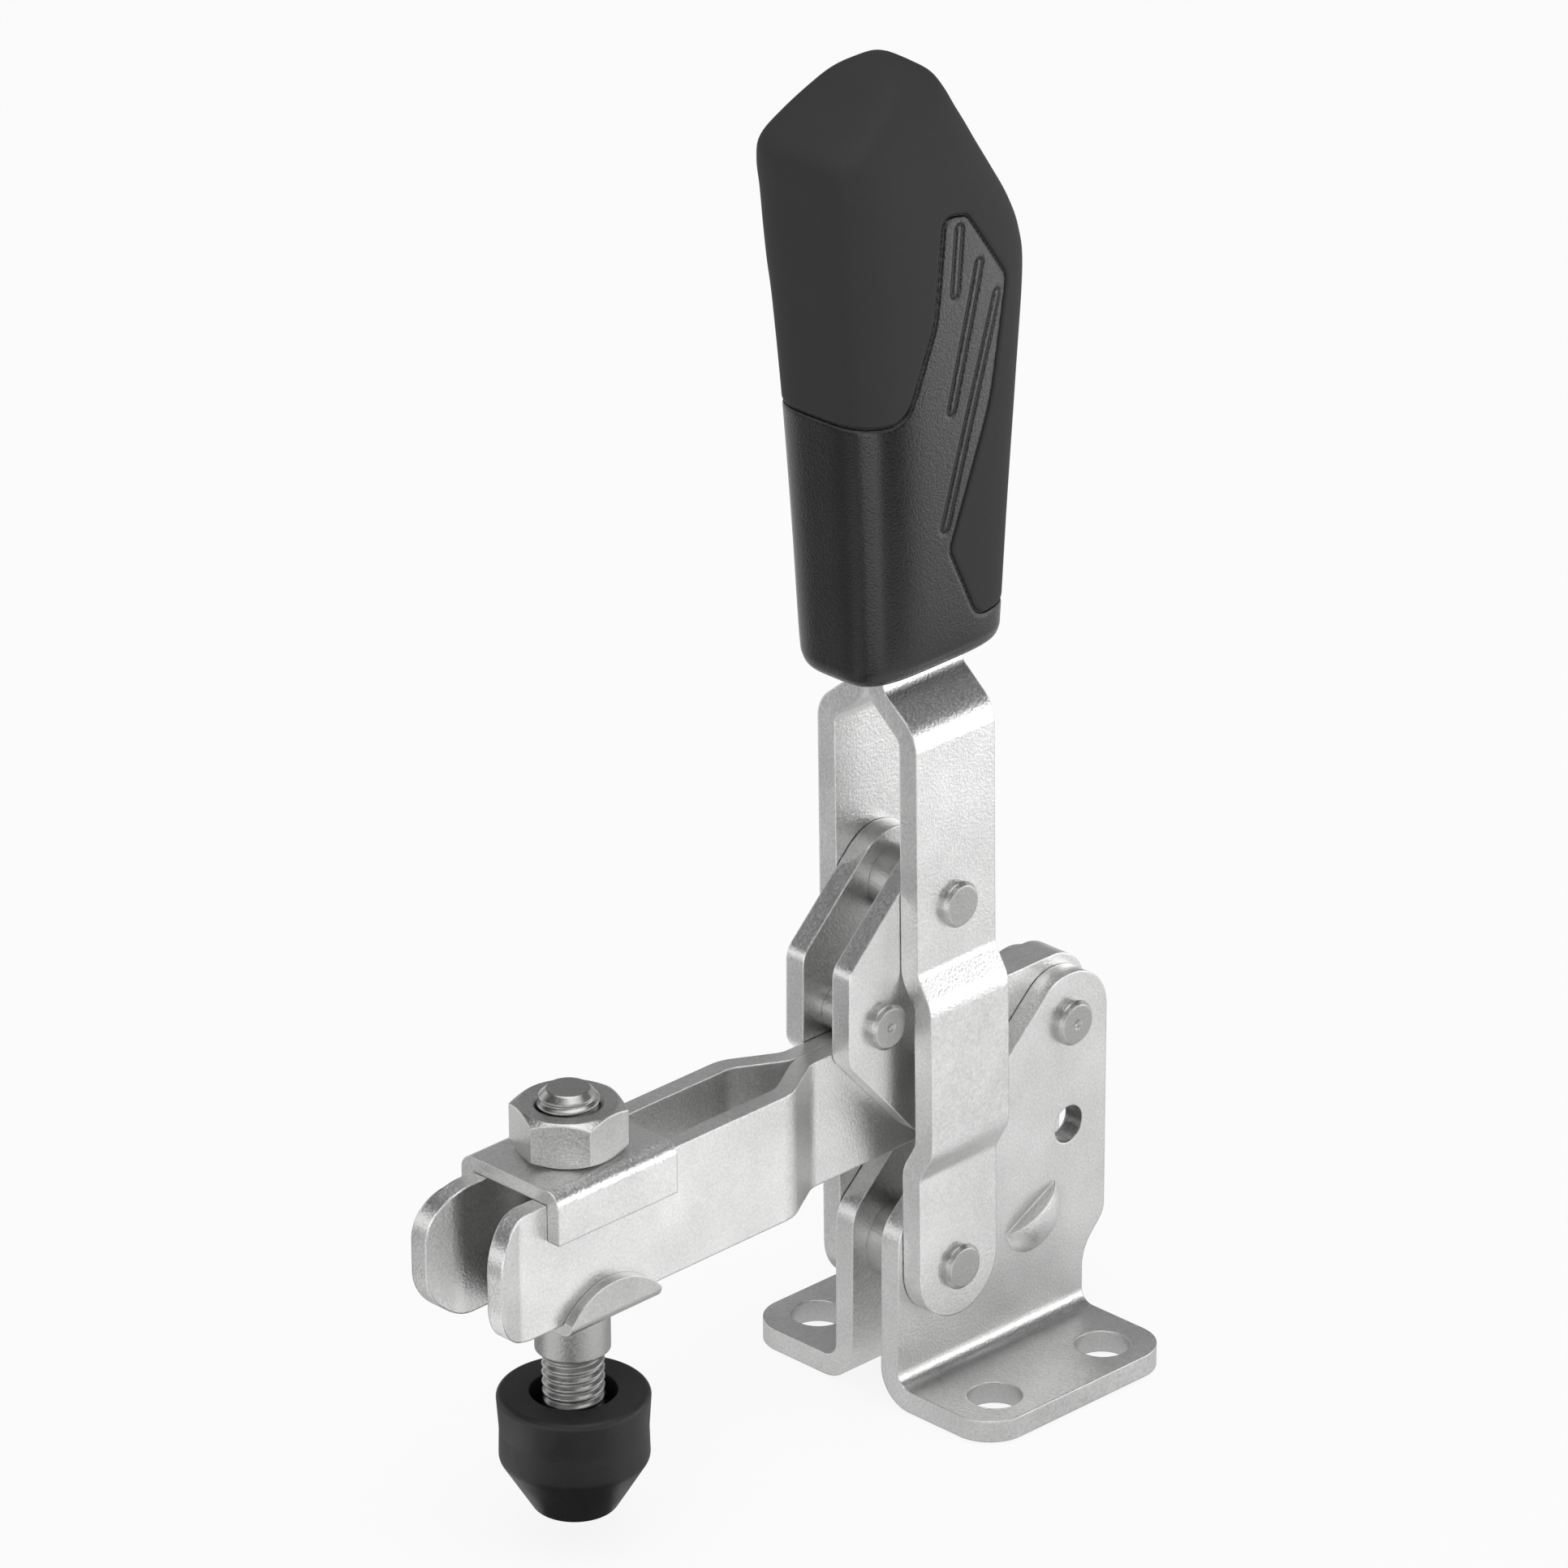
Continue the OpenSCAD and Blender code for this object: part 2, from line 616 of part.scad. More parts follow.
// Lower washer: its two half-moon ears stand against the arm plates
module lower_washer() {
    inner_r = 2 * seat_gap;
    ear_r = 9.8;
    ear_top = 3.9;
    half_len = 7.7;
    half = arm_outer + seat_gap - inner_r;
    color(steel) turn(arm_pivot, arm_fall) difference() {
        intersection() {
            translate([screw_x - half_len, 0, 0]) rotate([90, 0, 90]) linear_extrude(2 * half_len)
                for (m = [0, 1]) mirror([m, 0]) translate([-eps, washer_z])
                    bent_strip([[half + eps, 90, inner_r], [2 * ear_top, 0, 0]], washer_t);
            translate([screw_x, 0, arm_low + ear_top - ear_r]) rotate([90, 0, 0])
                cylinder(r = ear_r, h = far, center = true);
        }
        translate([screw_x, 0, 0]) cylinder(d = screw_d + 0.4, h = far, center = true);
    }
}
module collar() {
    c = 0.75;
    color(bright) turn(arm_pivot, arm_fall) translate([screw_x, 0, collar_z]) difference() {
        union() {
            cylinder(d1 = collar_d - 2 * c, d2 = collar_d, h = c);
            translate([0, 0, c]) cylinder(d = collar_d, h = collar_h - seat_gap - c);
        }
        translate([0, 0, -1]) cylinder(d = screw_d + 2 * press_gap, h = collar_h + 2);
    }
}
module hex_nut() {
    color(dark) turn(arm_pivot, arm_fall) translate([screw_x, 0, nut_z]) difference() {
        intersection() {
            rotate(7.5) hex(nut_af, nut_h);
            cylinder(d1 = nut_af * 0.96, d2 = nut_af * 0.96 + nut_h * 3.4, h = nut_h);
            cylinder(d2 = nut_af * 0.96, d1 = nut_af * 0.96 + nut_h * 3.4, h = nut_h);
        }
        translate([0, 0, -1]) cylinder(d = screw_d + 2 * press_gap, h = nut_h + 2);
        translate([0, 0, nut_h - 0.5]) cylinder(d1 = screw_d, d2 = screw_d + 1.1, h = 0.5 + eps);
    }
}
cap_z = cap_top - cap_h;
head_z = cap_z + 5.9;
module clamping_screw() {
    top = nut_z + nut_h + screw_end;
    point_d = screw_d - 2;
    color(bright) turn(arm_pivot, arm_fall) translate([screw_x, 0, 0]) {
        translate([0, 0, head_z]) rotate(7.5) hex(nut_af, head_h);
        translate([0, 0, head_z]) cylinder(d = screw_d, h = top - head_z - 2);
        translate([0, 0, top - 2]) cylinder(d1 = screw_d, d2 = point_d + 0.6, h = 0.9);
        translate([0, 0, top - 1.1]) cylinder(d = point_d + 0.6, h = 0.6);
        translate([0, 0, top - 0.5]) cylinder(d1 = point_d + 0.6, d2 = point_d - 0.6, h = 0.5);
    }
}
// Rubber cap, a revolved cup that grips the screw's head
module rubber_cap() {
    r = cap_d / 2;
    foot = 5.2;
    taper = 7.2;
    head_r = nut_af / 2 / cos(30) + 0.1;
    lip_z = head_z + head_h + 0.1;
    color(soft_black) turn(arm_pivot, arm_fall) translate([screw_x, 0, 0]) rotate_extrude() difference() {
        outline([[-r, cap_top, 0.8], [-r + 0.35, cap_z + taper + 4, 8], [-r + 0.25, cap_z + taper, 1.5],
                 [-foot, cap_z, 1.2], [foot, cap_z, 1.2], [r - 0.25, cap_z + taper, 1.5],
                 [r - 0.35, cap_z + taper + 4, 8], [r, cap_top, 0.8]]);
        translate([-far, -far / 2]) square([far, far]);
        translate([-1, head_z - 0.1]) square([head_r + 1, head_h + 0.2]);
        translate([-1, lip_z - 1]) square([cap_mouth_d / 2 + 1, far]);
    }
}

base_plate_near();
base_plate_far();
base_spacer();
arm_rivet();
handle_plate_near();
handle_plate_far();
handle_rivet();
top_rivet_ends();
grip_body();
grip_skin();
arm_plate_near();
arm_plate_far();
rear_bush();
front_bush();
link_plate_near();
link_plate_far();
link_rivet();
link_pin();
link_sleeve();
stop_pin();
saddle();
lower_washer();
collar();
hex_nut();
clamping_screw();
rubber_cap();
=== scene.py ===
"""Finishes, grip, screw thread and studio of a vertical toggle clamp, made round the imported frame."""

import bpy
import numpy as np
from bpy.props import FloatProperty, FloatVectorProperty, IntProperty, PointerProperty
from mathutils import Matrix, Vector


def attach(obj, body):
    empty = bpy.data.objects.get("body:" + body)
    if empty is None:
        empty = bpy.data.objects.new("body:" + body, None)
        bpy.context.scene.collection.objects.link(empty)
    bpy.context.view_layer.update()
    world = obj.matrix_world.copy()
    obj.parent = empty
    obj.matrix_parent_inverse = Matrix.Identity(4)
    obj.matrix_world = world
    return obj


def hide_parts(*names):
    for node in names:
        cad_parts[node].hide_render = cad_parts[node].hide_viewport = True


bl_info = {
    "name": "Vertical Toggle Clamp",
    "version": (1, 0, 0),
    "blender": (4, 5, 0),
    "location": "View3D > Sidebar > Clamp",
    "description": "Builds the finishes, grip and thread of a vertical toggle clamp",
    "category": "Add Mesh",
}

MM = 0.001

# The arm group is drawn level and the handle group upright, in millimetres. Each is then turned about its
# pivot, given as x and z, by an angle in degrees.
ARM_PIVOT, ARM_FALL = (14.2, 44.5), 0.6
HANDLE_PIVOT, HANDLE_LEAN = (-9.3, 18.9), 0.999

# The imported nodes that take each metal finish
SHEET_NODES = (
    "base_plate_near", "base_plate_far", "handle_plate_near", "handle_plate_far",
    "link_plate_near", "link_plate_far", "arm_plate_near", "arm_plate_far", "saddle",
)
TURNED_NODES = ("arm_rivet", "handle_rivet", "top_rivet_ends", "link_rivet", "link_pin", "stop_pin", "collar")
BUSH_NODES = ("base_spacer", "rear_bush", "front_bush", "link_sleeve")
NUT_NODES = ("hex_nut", "lower_washer")

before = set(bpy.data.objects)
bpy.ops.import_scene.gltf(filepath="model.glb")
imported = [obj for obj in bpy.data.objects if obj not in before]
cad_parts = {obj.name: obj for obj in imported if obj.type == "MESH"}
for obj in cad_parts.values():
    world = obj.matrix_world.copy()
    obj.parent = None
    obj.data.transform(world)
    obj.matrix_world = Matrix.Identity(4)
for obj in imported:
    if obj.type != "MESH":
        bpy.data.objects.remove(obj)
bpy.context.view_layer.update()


# What a user would change


class ClampMetal(bpy.types.PropertyGroup):
    """Finish of the sheet metal and the turned pieces."""

    sheet_colour: FloatVectorProperty(
        name="Sheet colour", description="Plated sheet steel",
        subtype="COLOR", size=3, default=(0.83, 0.83, 0.825),
    )
    turned_colour: FloatVectorProperty(
        name="Rivet colour", description="Rivets, pins and screw",
        subtype="COLOR", size=3, default=(0.48, 0.48, 0.475),
    )
    nut_colour: FloatVectorProperty(
        name="Nut colour", description="Hexagon nut, lower washer and bushes",
        subtype="COLOR", size=3, default=(0.56, 0.56, 0.555),
    )
    edge_radius: FloatProperty(
        name="Edge radius", description="Rounding of blanked edges",
        subtype="DISTANCE", default=0.35 * MM,
    )
    grain_size: FloatProperty(
        name="Grain size", description="Size of the plating's speckle",
        subtype="DISTANCE", default=0.35 * MM,
    )
    sheet_roughness: FloatProperty(
        name="Sheet roughness", description="Dullness of the plating",
        subtype="FACTOR", min=0, max=1, default=0.33,
    )


class ClampPlastic(bpy.types.PropertyGroup):
    """Finish of the grip and the rubber cap."""

    hard_colour: FloatVectorProperty(
        name="Hard colour", description="Hard body of the grip",
        subtype="COLOR", size=3, default=(0.007, 0.007, 0.007),
    )
    soft_colour: FloatVectorProperty(
        name="Soft colour", description="Soft skin of the grip",
        subtype="COLOR", size=3, default=(0.016, 0.016, 0.0165),
    )
    rubber_colour: FloatVectorProperty(
        name="Rubber colour", description="Screw cap",
        subtype="COLOR", size=3, default=(0.012, 0.012, 0.012),
    )
    seam_width: FloatProperty(
        name="Seam width", description="Half width of the groove round the soft skin",
        subtype="DISTANCE", default=0.3 * MM,
    )
    rib_radius: FloatProperty(
        name="Rib radius", description="Half width of the moulded loops",
        subtype="DISTANCE", default=0.6 * MM,
    )
    around: IntProperty(name="Columns", description="Grid columns round the grip", default=304)
    along: IntProperty(name="Rows", description="Grid rows up the grip", default=300)


class ClampThread(bpy.types.PropertyGroup):
    """Thread of the clamping screw."""

    pitch: FloatProperty(name="Pitch", description="Thread pitch", subtype="DISTANCE", default=1.25 * MM)
    depth: FloatProperty(name="Depth", description="Thread depth", subtype="DISTANCE", default=0.62 * MM)
    columns: IntProperty(name="Columns", description="Grid columns round the screw", default=96)
    steps: IntProperty(name="Steps", description="Grid rows in one turn of the thread", default=12)


class ClampStage(bpy.types.PropertyGroup):
    """Floor, light and camera."""

    floor_colour: FloatVectorProperty(
        name="Floor colour", description="Floor of the studio",
        subtype="COLOR", size=3, default=(0.93, 0.93, 0.93),
    )
    floor_glow: FloatProperty(
        name="Floor glow", description="Share of the floor seen as plain white",
        subtype="FACTOR", min=0, max=1, default=0.87,
    )
    key_power: FloatProperty(
        name="Key power", description="Low lamp, front right", subtype="POWER", default=1.7
    )
    side_power: FloatProperty(
        name="Side power", description="Lamp on the left", subtype="POWER", default=1.1
    )
    top_power: FloatProperty(
        name="Top power", description="Lamp overhead", subtype="POWER", default=4.0
    )
    azimuth: FloatProperty(
        name="Azimuth", description="Way the camera looks from, 0 in front",
        subtype="ANGLE", default=np.radians(-44.9),
    )
    elevation: FloatProperty(
        name="Elevation", description="Height of the camera over the floor",
        subtype="ANGLE", default=np.radians(24.7),
    )
    lens: FloatProperty(
        name="Lens", description="Focal length", subtype="DISTANCE_CAMERA", default=242.2
    )
    distance: FloatProperty(
        name="Distance", description="Camera to origin, along the view", subtype="DISTANCE", default=1.37084
    )
    offset: FloatVectorProperty(
        name="Offset", description="Camera offset right and up",
        subtype="TRANSLATION", size=2, default=(-0.02283, 0.07343),
    )


# Meshes


def turned(points, about, degrees):
    """Turns points about a line along Y, from the pivot: x' = x cos a - z sin a, z' = x sin a + z cos a."""
    a = np.radians(degrees)
    x, z = points[..., 0] - about[0], points[..., 2] - about[1]
    turned_x = about[0] + x * np.cos(a) - z * np.sin(a)
    turned_z = about[1] + x * np.sin(a) + z * np.cos(a)
    return np.stack([turned_x, points[..., 1], turned_z], axis=-1)


def grid_mesh(name, rings):
    """A closed skin over rings of points in millimetres, shaped (rows, columns, 3).

    Neighbouring rings are joined by quads, the last column meets the first, and each end is
    closed by a fan to the mean of its ring.
    """
    rows, columns, _ = rings.shape
    points = np.concatenate([rings.reshape(-1, 3), rings[:1].mean(axis=1), rings[-1:].mean(axis=1)]) * MM
    row, column = np.meshgrid(np.arange(rows - 1), np.arange(columns), indexing="ij")
    here = row * columns + column
    beside = row * columns + (column + 1) % columns
    quads = np.stack([here, beside, beside + columns, here + columns], axis=-1).reshape(-1, 4)
    ring = np.arange(columns)
    after = (ring + 1) % columns
    first = np.stack([np.full(columns, rows * columns), after, ring], axis=-1)
    top = (rows - 1) * columns
    last = np.stack([np.full(columns, rows * columns + 1), top + ring, top + after], axis=-1)
    corners = np.concatenate([quads.ravel(), first.ravel(), last.ravel()])
    sizes = np.concatenate([np.full(len(quads), 4), np.full(2 * columns, 3)])
    mesh = bpy.data.meshes.new(name)
    mesh.vertices.add(len(points))
    mesh.vertices.foreach_set("co", points.ravel())
    mesh.loops.add(len(corners))
    mesh.loops.foreach_set("vertex_index", corners)
    mesh.polygons.add(len(sizes))
    mesh.polygons.foreach_set("loop_start", np.concatenate([[0], np.cumsum(sizes)[:-1]]))
    mesh.polygons.foreach_set("use_smooth", np.ones(len(sizes), bool))
    mesh.update(calc_edges=True)
    mesh.validate()
    piece = bpy.data.objects.new(name, mesh)
    bpy.context.scene.collection.objects.link(piece)
    return piece


def set_attribute(piece, name, values):
    """Stores a grid of numbers, one for each vertex. The two end points take the mean of their rings."""
    values = np.concatenate([values.ravel(), [values[0].mean(), values[-1].mean()]])
    piece.data.attributes.new(name, "FLOAT", "POINT").data.foreach_set("value", values.astype(np.float32))


def through(rows, steps):
    """A smooth curve through the rows of a table: Catmull-Rom, with steps samples in each gap.

    p(s) = ((2b) + (c - a) s + (2a - 5b + 4c - d) s^2 + (3b - a - 3c + d) s^3) / 2
    """
    padded = np.concatenate([2 * rows[:1] - rows[1:2], rows, 2 * rows[-1:] - rows[-2:-1]])
    s = (np.arange(steps) / steps)[None, :, None]
    a, b, c, d = (padded[k : len(rows) - 1 + k, None, :] for k in range(4))
    curve = (2 * b + (c - a) * s + (2 * a - 5 * b + 4 * c - d) * s**2 + (3 * b - a - 3 * c + d) * s**3) / 2
    return np.concatenate([curve.reshape(-1, rows.shape[1]), rows[-1:]])


def even(curve, count, closed=False):
    """The rows of a curve's table, read again at equal steps of its length."""
    length = np.concatenate([[0], np.cumsum(np.linalg.norm(np.diff(curve, axis=0), axis=1))])
    at = np.linspace(0, length[-1], count, endpoint=not closed)
    return np.stack([np.interp(at, length, column) for column in curve.T], axis=1)


def squircle(count, wide, deep, samples=4096):
    """Points on x^4 + y^4 = 1, spaced evenly where the ring is stretched to wide and deep.

    At angle a the distance from the middle is (cos^4 a + sin^4 a)^(-1/4).
    """
    angle = np.linspace(0, 2 * np.pi, samples)
    reach = (np.cos(angle) ** 4 + np.sin(angle) ** 4) ** -0.25
    ring = np.stack([wide * reach * np.cos(angle), deep * reach * np.sin(angle)], axis=1)
    return even(ring, count, closed=True) / (wide, deep)


def ease(distance, width):
    """1 at no distance, falling smoothly to 0 at width: 1 - t^2 (3 - 2 t)."""
    t = np.clip(np.abs(distance) / width, 0, 1)
    return 1 - t * t * (3 - 2 * t)


def sunk(rings, depth):
    """Moves a grid's points inward by depth. The outward way is the cross product of its two directions."""
    along = np.gradient(rings, axis=0)
    around = np.roll(rings, -1, axis=1) - np.roll(rings, 1, axis=1)
    outward = np.cross(around, along)
    outward /= np.maximum(np.linalg.norm(outward, axis=-1, keepdims=True), 1e-9)
    return rings - depth[..., None] * outward


def segment_distance(points, start, end):
    """Distance of each 2-D point from a straight segment."""
    along = end - start
    share = np.clip(((points - start) @ along) / (along @ along), 0, 1)
    return np.linalg.norm(points - start - share[:, None] * along, axis=1)


def loop_distance(points, outline):
    """Signed distance of each 2-D point from a closed outline, less than 0 inside.

    The size is the least distance from its sides. The sign comes from the winding angle.
    """
    nearest = np.full(len(points), np.inf)
    angle = np.zeros(len(points))
    for start, end in zip(outline, np.roll(outline, -1, axis=0)):
        nearest = np.minimum(nearest, segment_distance(points, start, end))
        u, v = start - points, end - points
        angle += np.arctan2(u[:, 0] * v[:, 1] - u[:, 1] * v[:, 0], (u * v).sum(axis=1))
    return np.where(np.abs(angle) > np.pi, -nearest, nearest)


def rounded(corners, steps=6):
    """A closed outline with each corner [x, z, radius] turned into a curve, as points.

    A quadratic curve from tangent point to tangent point stands for the arc:
    p(s) = (1 - s)^2 start + 2 s (1 - s) corner + s^2 end. Points that repeat are dropped.
    """
    corners = np.array(corners, float)
    here, radius = corners[:, :2], corners[:, 2]
    back = np.roll(here, 1, axis=0) - here
    ahead = np.roll(here, -1, axis=0) - here
    back /= np.linalg.norm(back, axis=1)[:, None]
    ahead /= np.linalg.norm(ahead, axis=1)[:, None]
    half = np.arccos(np.clip((back * ahead).sum(axis=1), -1, 1)) / 2
    reach = (radius / np.tan(half))[:, None]
    start, end = here + back * reach, here + ahead * reach
    s = np.linspace(0, 1, steps)[None, :, None]
    curve = (1 - s) ** 2 * start[:, None] + 2 * s * (1 - s) * here[:, None] + s**2 * end[:, None]
    curve = curve.reshape(-1, 2)
    return curve[np.linalg.norm(curve - np.roll(curve, 1, axis=0), axis=1) > 1e-6]


# Materials

# Nearly all of a noise lies between these two values
NOISE_LOW, NOISE_HIGH = 0.3, 0.7
# Metal: size of its cloudy patches, the speckle's share in the tint, and its gloss from speckle to speckle
METAL_CLOUD, SPECKLE_SHARE, GLOSS_LOW, GLOSS_HIGH = 9 * MM, 0.6, 0.88, 1.15
# Painted shade in corners: how far off a piece's own faces darken its corners, and the share of colour left
# in the tightest of them
CORNER_REACH, CORNER_SHADE = 20 * MM, 0.5
# Painted highlight on the edges: how fast it begins, how much brighter it is and the brightest that a colour
# can be
EDGE_GAIN, EDGE_HIGHLIGHT_GAIN, EDGE_HIGHLIGHT_LIMIT = 6, 1.9, 0.95
# Rubber cap: patches, grain, the grain's depth and the rounding of its rims
RUBBER_CLOUD, RUBBER_GRAIN, RUBBER_RELIEF, RUBBER_EDGE = 5 * MM, 0.25 * MM, 0.02 * MM, 0.4 * MM
# Grip: patches and grain of the hard body and of the soft skin
GRIP_CLOUD, HARD_GRAIN, SOFT_GRAIN = 7 * MM, 0.3 * MM, 0.12 * MM
# Grip: painted shade in the groove and the loops' sunk line: its colour, the line's half width in
# millimetres, and how much each darkens
PAINTED_SHADE_COLOUR, LINE_WIDTH, LINE_PAINTED_SHADE, GROOVE_PAINTED_SHADE = (0.003, 0.003, 0.003), 0.2, 0.6, 0.85
# Grip: depth of the groove, the loops' line and the hard grain in the bump
GROOVE_RELIEF, LINE_RELIEF, GRAIN_RELIEF = 0.25 * MM, 0.15 * MM, 0.045 * MM
# Mean roughness of the rivets, the bushes, the nut and the screw
TURNED_ROUGHNESS, BUSH_ROUGHNESS, NUT_ROUGHNESS, SCREW_ROUGHNESS = 0.34, 0.4, 0.33, 0.3
# Least and greatest roughness of the rubber and of the grip's hard body and soft skin
RUBBER_ROUGHNESS, HARD_ROUGHNESS, SOFT_ROUGHNESS = (0.44, 0.58), (0.22, 0.34), (0.72, 0.8)
# How many times as bright as their colour the darkest and the brightest patches are
RUBBER_TINT, HARD_TINT = (0.85, 1.25), (0.8, 1.3)


class Finish:
    """A node material under way: its tree, its shader and short ways to add nodes."""

    def __init__(self, name, colour, roughness=0.5, metallic=0.0):
        self.material = bpy.data.materials.new(name)
        self.material.use_nodes = True
        self.tree = self.material.node_tree
        self.shader = self.tree.nodes["Principled BSDF"]
        self.shader.inputs["Base Color"].default_value = (*colour, 1)
        self.shader.inputs["Roughness"].default_value = roughness
        self.shader.inputs["Metallic"].default_value = metallic

    def node(self, kind, **values):
        """Adds a node and sets its values."""
        made = self.tree.nodes.new(kind)
        for key, value in values.items():
            setattr(made, key, value)
        return made

    def link(self, source, target):
        """Links an output to an input, or to the shader's input of that name."""
        if isinstance(target, str):
            target = self.shader.inputs[target]
        self.tree.links.new(source, target)

    def noise(self, size, detail, stretch=(1, 1, 1)):
        """Noise in Object coordinates. Its features are about size metres, stretched along the axes."""
        place = self.node("ShaderNodeTexCoord").outputs["Object"]
        mapping = self.node("ShaderNodeMapping")
        mapping.inputs["Scale"].default_value = stretch
        noise = self.node("ShaderNodeTexNoise")
        noise.inputs["Scale"].default_value = 1 / size
        noise.inputs["Detail"].default_value = detail
        self.link(place, mapping.inputs["Vector"])
        self.link(mapping.outputs["Vector"], noise.inputs["Vector"])
        return noise.outputs["Fac"]

    def spread(self, value, low, high):
        """Maps a noise to the range from low to high."""
        ramp = self.node("ShaderNodeMapRange")
        ramp.inputs["From Min"].default_value = NOISE_LOW
        ramp.inputs["From Max"].default_value = NOISE_HIGH
        ramp.inputs["To Min"].default_value = low
        ramp.inputs["To Max"].default_value = high
        self.link(value, ramp.inputs["Value"])
        return ramp.outputs["Result"]

    def math(self, operation, *values):
        """The result of an operation on sockets and plain numbers."""
        made = self.node("ShaderNodeMath", operation=operation)
        for socket, value in zip(made.inputs, values):
            if isinstance(value, (int, float)):
                socket.default_value = value
            else:
                self.link(value, socket)
        return made.outputs["Value"]

    def near(self, distance, width):
        """1 where a distance is 0, falling smoothly to 0 at width."""
        ramp = self.node("ShaderNodeMapRange", interpolation_type="SMOOTHSTEP")
        ramp.inputs["From Max"].default_value = width
        ramp.inputs["To Min"].default_value = 1
        ramp.inputs["To Max"].default_value = 0
        self.link(self.math("ABSOLUTE", distance), ramp.inputs["Value"])
        return ramp.outputs["Result"]

    def attribute(self, name):
        """One of the numbers that a piece's mesh carries."""
        return self.node("ShaderNodeAttribute", attribute_name=name).outputs["Fac"]

    def mix_colour(self, share, low, high):
        """low where share is 0 and high where it is 1, each a colour or a socket.

        The node has sockets for each kind of value. Inputs 6 and 7 and output 2 are its colours.
        """
        mix = self.node("ShaderNodeMix", data_type="RGBA")
        self.link(share, mix.inputs["Factor"])
        for socket, value in ((mix.inputs[6], low), (mix.inputs[7], high)):
            if isinstance(value, bpy.types.NodeSocket):
                self.link(value, socket)
            else:
                socket.default_value = (*value, 1)
        return mix.outputs[2]

    def mix_value(self, share, low, high):
        """low where share is 0 and high where it is 1, each a socket. Inputs 2 and 3 are the numbers."""
        mix = self.node("ShaderNodeMix")
        self.link(share, mix.inputs["Factor"])
        self.link(low, mix.inputs[2])
        self.link(high, mix.inputs[3])
        return mix.outputs[0]

    def relief(self, height, depth, under=None):
        """Adds a bump of the given depth in metres, over another normal if there is one."""
        bump = self.node("ShaderNodeBump")
        bump.inputs["Distance"].default_value = depth
        self.link(height, bump.inputs["Height"])
        if under is not None:
            self.link(under, bump.inputs["Normal"])
        return bump.outputs["Normal"]

    def rounded_edges(self, radius):
        """The normal, turned near edges as if they were rounded."""
        bevel = self.node("ShaderNodeBevel", samples=6)
        bevel.inputs["Radius"].default_value = radius
        return bevel.outputs["Normal"]

    def openness(self, distance):
        """1 on open faces, and less where a piece's own faces stand closer than distance."""
        # The result is the mask of the painted shade in corners
        open_share = self.node("ShaderNodeAmbientOcclusion", samples=8, only_local=True)
        open_share.inputs["Distance"].default_value = distance
        return open_share.outputs["AO"]

    def edge_share(self, radius):
        """1 on the edges of a piece and 0 on its faces.

        It is EDGE_GAIN times (1 - the cosine between the rounded and the plain normal), 1 at most.
        """
        cosine = self.node("ShaderNodeVectorMath", operation="DOT_PRODUCT")
        self.link(self.rounded_edges(radius), cosine.inputs[0])
        self.link(self.node("ShaderNodeNewGeometry").outputs["Normal"], cosine.inputs[1])
        lack = self.math("SUBTRACT", 1, cosine.outputs["Value"])
        return self.math("MINIMUM", self.math("MULTIPLY", lack, EDGE_GAIN), 1)


def metal_finish(
    name, colour, roughness, metal, contrast=0.18, stretch=(1, 1, 1), relief=0.05 * MM, edge_highlight=0.25
):
    """Plated or turned steel: speckled tint and gloss, fine relief, painted edge highlights and painted
    corner shade.

    contrast is how far the speckle changes the colour, relief is its depth in metres, and the last
    argument is the share of the painted highlight's bright colour on the edges.
    """
    finish = Finish(name, colour, roughness, metallic=1.0)
    colour = np.array(colour)
    speckle = finish.noise(metal.grain_size, detail=4, stretch=stretch)
    cloud = finish.noise(METAL_CLOUD, detail=2, stretch=stretch)
    fine = finish.math("MULTIPLY", speckle, SPECKLE_SHARE)
    uneven = finish.spread(finish.math("MULTIPLY_ADD", cloud, 1 - SPECKLE_SHARE, fine), 0, 1)
    tint = finish.mix_colour(uneven, colour * (1 - contrast), np.minimum(colour * (1 + contrast), 1))
    # Painted highlight: the edges are brightened towards a pale colour
    edges = finish.math("MULTIPLY", finish.edge_share(metal.edge_radius), edge_highlight)
    tint = finish.mix_colour(edges, tint, np.minimum(colour * EDGE_HIGHLIGHT_GAIN, EDGE_HIGHLIGHT_LIMIT))
    # Painted shade: corners that the piece's own faces close in are darkened towards CORNER_SHADE of the
    # colour
    tint = finish.mix_colour(finish.openness(CORNER_REACH), colour * CORNER_SHADE, tint)
    finish.link(tint, "Base Color")
    finish.link(finish.spread(speckle, roughness * GLOSS_LOW, roughness * GLOSS_HIGH), "Roughness")
    finish.link(finish.relief(speckle, relief, finish.rounded_edges(metal.edge_radius)), "Normal")
    return finish.material


def rubber_finish(plastic):
    """Moulded black rubber with a dull, slightly uneven skin."""
    finish = Finish("cap_rubber", plastic.rubber_colour)
    grain = finish.noise(RUBBER_GRAIN, detail=3)
    cloud = finish.noise(RUBBER_CLOUD, detail=2)
    darkest, brightest = np.outer(RUBBER_TINT, plastic.rubber_colour)
    finish.link(finish.mix_colour(finish.spread(cloud, 0, 1), darkest, brightest), "Base Color")
    finish.link(finish.spread(cloud, *RUBBER_ROUGHNESS), "Roughness")
    finish.link(finish.relief(grain, RUBBER_RELIEF, finish.rounded_edges(RUBBER_EDGE)), "Normal")
    return finish.material


